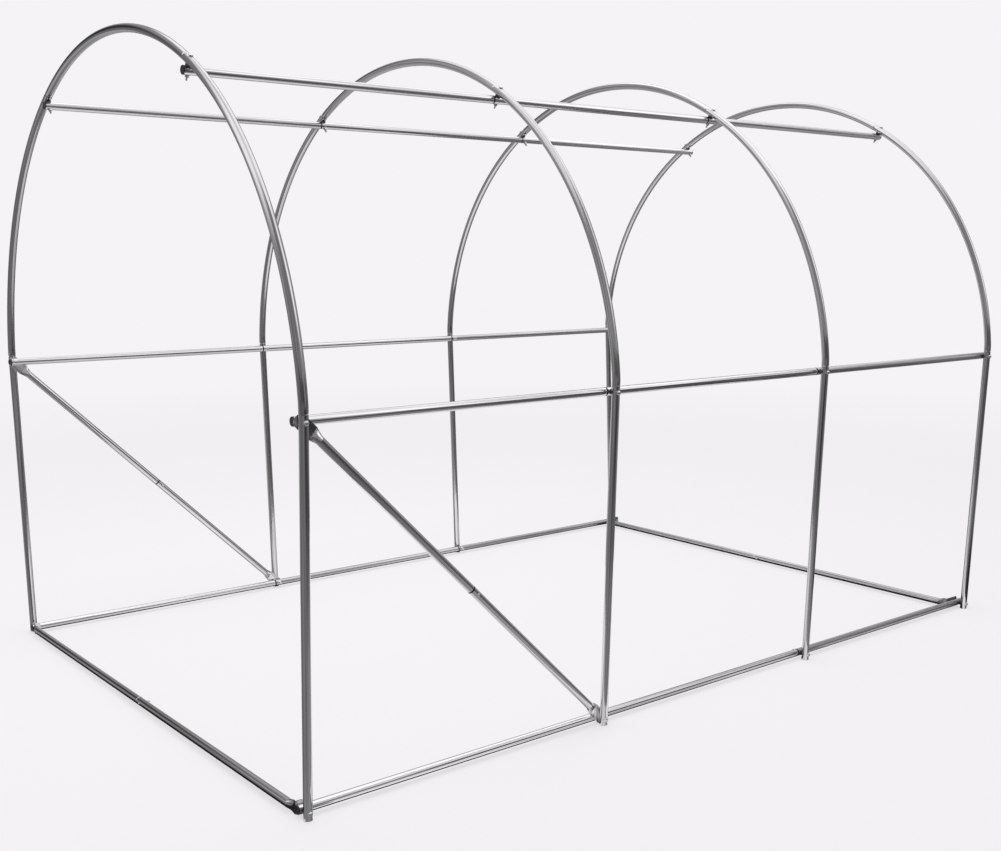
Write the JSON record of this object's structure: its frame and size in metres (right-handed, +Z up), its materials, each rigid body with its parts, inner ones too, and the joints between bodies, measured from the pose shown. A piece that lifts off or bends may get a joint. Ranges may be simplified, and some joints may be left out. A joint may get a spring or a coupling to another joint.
{
  "type": "greenhouse tent frame",
  "caption": "Bare frame of a walk-in garden greenhouse tent: arched steel tube hoops tied by base rails, side rails and purlins, with slanting braces in the front bay.",
  "frame": {"origin": "middle of the rectangle that the frame covers, on the ground", "axes": "+X to the right-hand side seen from the front, +Y from the front hoop to the rear hoop, +Z up"},
  "size_m": [2.1896, 3.04, 2.0691],
  "materials": {
    "galvanised_tube": "galvanised, satin with faint streaks along the tube",
    "black_plastic": "moulded, matt"
  },
  "bodies": {
    "root": {"front_end_rail": "galvanised_tube", "front_hoop_crown": "galvanised_tube", "front_hoop_left_bend": "galvanised_tube", "front_hoop_left_leg": "galvanised_tube", "front_hoop_right_bend": "galvanised_tube", "front_hoop_right_leg": "galvanised_tube", "left_base_rail_front": "galvanised_tube", "left_base_rail_middle": "galvanised_tube", "left_base_rail_rear": "galvanised_tube", "left_brace": "galvanised_tube", "left_purlin_front": "galvanised_tube", "left_purlin_middle": "galvanised_tube", "left_purlin_rear": "galvanised_tube", "left_side_rail_front": "galvanised_tube", "left_side_rail_middle": "galvanised_tube", "left_side_rail_rear": "galvanised_tube", "rail_end_caps": "black_plastic", "rail_saddles": "black_plastic", "rear_end_rail": "galvanised_tube", "rear_hoop_crown": "galvanised_tube", "rear_hoop_left_bend": "galvanised_tube", "rear_hoop_left_leg": "galvanised_tube", "rear_hoop_right_bend": "galvanised_tube", "rear_hoop_right_leg": "galvanised_tube", "right_base_rail_front": "galvanised_tube", "right_base_rail_middle": "galvanised_tube", "right_base_rail_rear": "galvanised_tube", "right_brace": "galvanised_tube", "right_purlin_front": "galvanised_tube", "right_purlin_middle": "galvanised_tube", "right_purlin_rear": "galvanised_tube", "right_side_rail_front": "galvanised_tube", "right_side_rail_middle": "galvanised_tube", "right_side_rail_rear": "galvanised_tube", "second_hoop_crown": "galvanised_tube", "second_hoop_left_bend": "galvanised_tube", "second_hoop_left_leg": "galvanised_tube", "second_hoop_right_bend": "galvanised_tube", "second_hoop_right_leg": "galvanised_tube", "third_hoop_crown": "galvanised_tube", "third_hoop_left_bend": "galvanised_tube", "third_hoop_left_leg": "galvanised_tube", "third_hoop_right_bend": "galvanised_tube", "third_hoop_right_leg": "galvanised_tube"}
  },
  "joints": []
}
